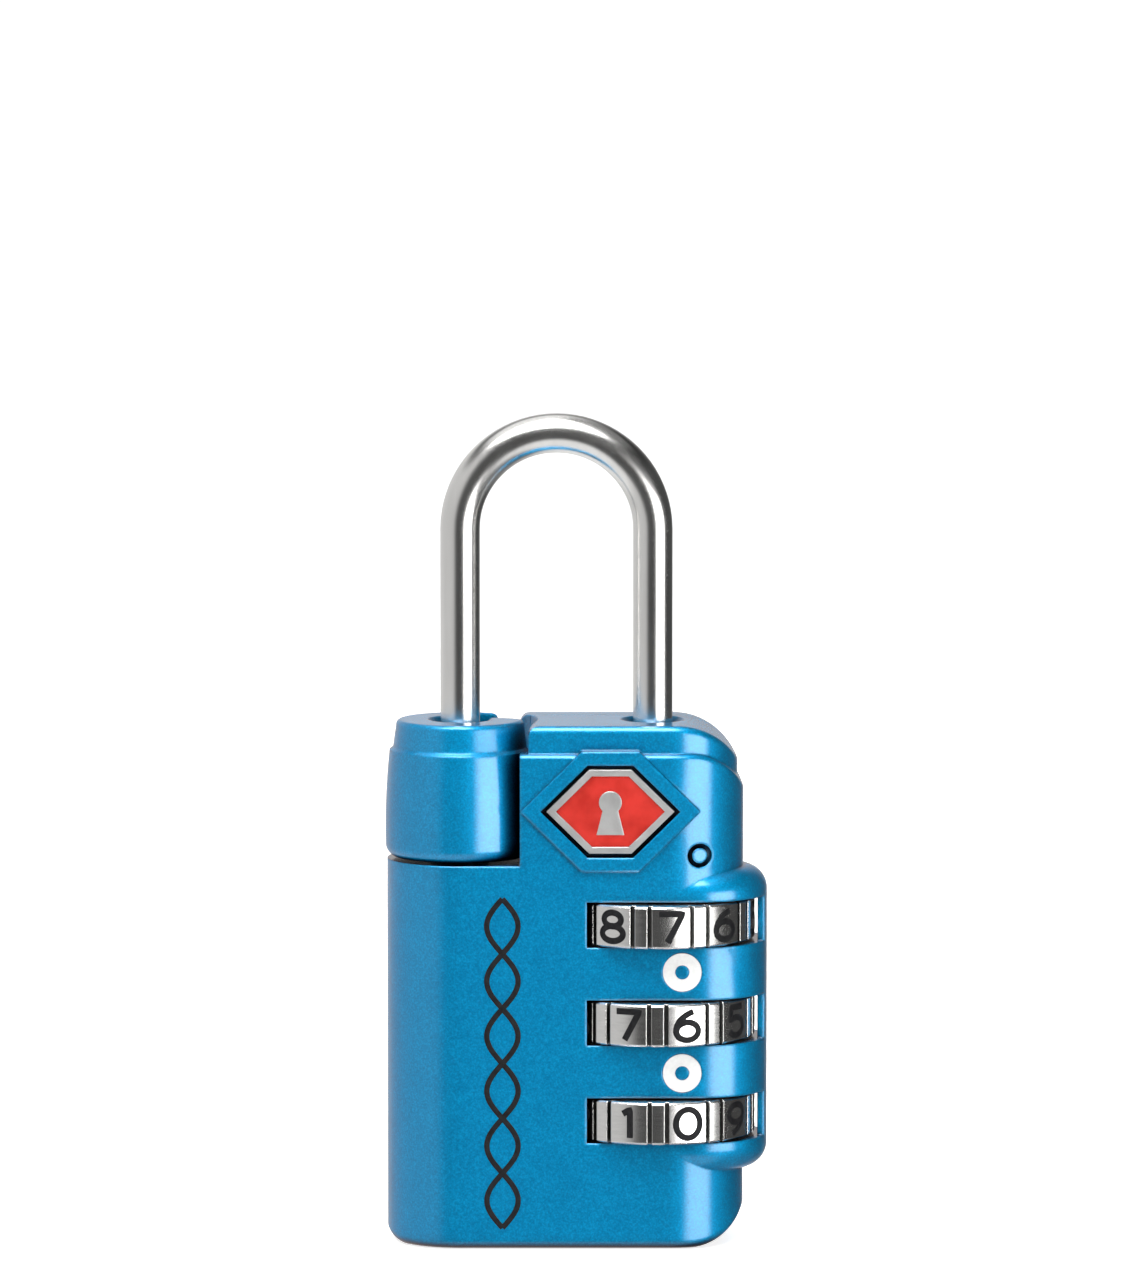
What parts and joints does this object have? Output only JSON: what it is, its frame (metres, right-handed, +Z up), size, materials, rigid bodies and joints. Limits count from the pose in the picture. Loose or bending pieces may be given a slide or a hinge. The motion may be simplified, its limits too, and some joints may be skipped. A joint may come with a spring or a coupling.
{
  "type": "luggage combination padlock",
  "caption": "Slim blue metal luggage padlock with a chrome shackle, turning shackle cap, side windows with numbered dials, hexagonal badge and key override in its foot.",
  "frame": {"origin": "middle of the footprint, on the flat face the lock stands on", "axes": "+X towards the dials' side, +Y towards the rear cover, +Z up along the shackle"},
  "size_m": [0.0318, 0.016, 0.0693],
  "materials": {
    "blue_paint": "satin metallic blue paint",
    "chrome_steel": "polished chrome plate",
    "dial_metal": "satin chrome plate",
    "inner_steel": "plain steel",
    "spring_steel": "spring steel",
    "brass": "machined brass",
    "pin_steel": "pressed steel pins",
    "badge_metal": "bright satin",
    "badge_enamel": "clear red enamel",
    "white_ink": "white ink",
    "hub_zinc": "cast",
    "button_plastic": "black",
    "black_ink": "black ink"
  },
  "bodies": {
    "body": {"housing": "blue_paint", "rear_cover": "blue_paint", "cover_pins": "pin_steel", "key_cylinder": "brass", "spindle": "inner_steel", "click_spring": "spring_steel", "plate_spring": "spring_steel", "reset_spring": "spring_steel", "badge_frame": "badge_metal", "badge_enamel": "badge_enamel", "badge_keyhole": "badge_metal", "index_rings": "white_ink"},
    "cap": {"cap": "blue_paint", "cap_stem": "inner_steel", "stem_clip": "spring_steel"},
    "shackle": {"shackle": "chrome_steel", "shackle_clip": "spring_steel"},
    "locking_plate": {"locking_plate": "inner_steel"},
    "dial_top": {"dial_top": "dial_metal", "hub_top": "hub_zinc"},
    "dial_middle": {"dial_middle": "dial_metal", "hub_middle": "hub_zinc"},
    "dial_bottom": {"dial_bottom": "dial_metal", "hub_bottom": "hub_zinc"},
    "key_plug": {"key_plug": "brass"},
    "reset_button": {"reset_button": "button_plastic"}
  },
  "joints": [
    {"name": "cap_turn", "type": "hinge", "parent": "body", "child": "cap", "pos_m": [-0.00968, 0, 0.038], "axis": [0, 0, 1], "range_deg": [0, 180]},
    {"name": "shackle_swing", "type": "hinge", "parent": "body", "child": "shackle", "pos_m": [0.00635, 0, 0.038], "axis": [0, 0, 1], "range_deg": [-60, 0]},
    {"name": "locking_plate_slide", "type": "slide", "parent": "body", "child": "locking_plate", "axis": [1, 0, 0], "range_m": [0, 0.0012], "deforming": ["plate_spring"]},
    {"name": "dial_top_turn", "type": "hinge", "parent": "body", "child": "dial_top", "pos_m": [0.00685, 0, 0.0272], "axis": [0, 0, 1], "continuous": true},
    {"name": "dial_middle_turn", "type": "hinge", "parent": "body", "child": "dial_middle", "pos_m": [0.00685, 0, 0.019], "axis": [0, 0, 1], "continuous": true},
    {"name": "dial_bottom_turn", "type": "hinge", "parent": "body", "child": "dial_bottom", "pos_m": [0.00685, 0, 0.0108], "axis": [0, 0, 1], "continuous": true},
    {"name": "key_plug_turn", "type": "hinge", "parent": "body", "child": "key_plug", "pos_m": [-0.00968, 0, 0.01], "axis": [0, 0, -1], "range_deg": [0, 90]},
    {"name": "reset_button_press", "type": "slide", "parent": "body", "child": "reset_button", "axis": [0, 0, 1], "range_m": [0, 0.0012], "stiffness_N_per_m": 800, "springref_m": -0.0006, "deforming": ["reset_spring"]}
  ],
  "couplings": [
    {"joint": "shackle_swing", "follows": "cap_turn", "ratio": -0.33333},
    {"joint": "locking_plate_slide", "follows": "cap_turn", "m_per_rad": 0.000381}
  ]
}
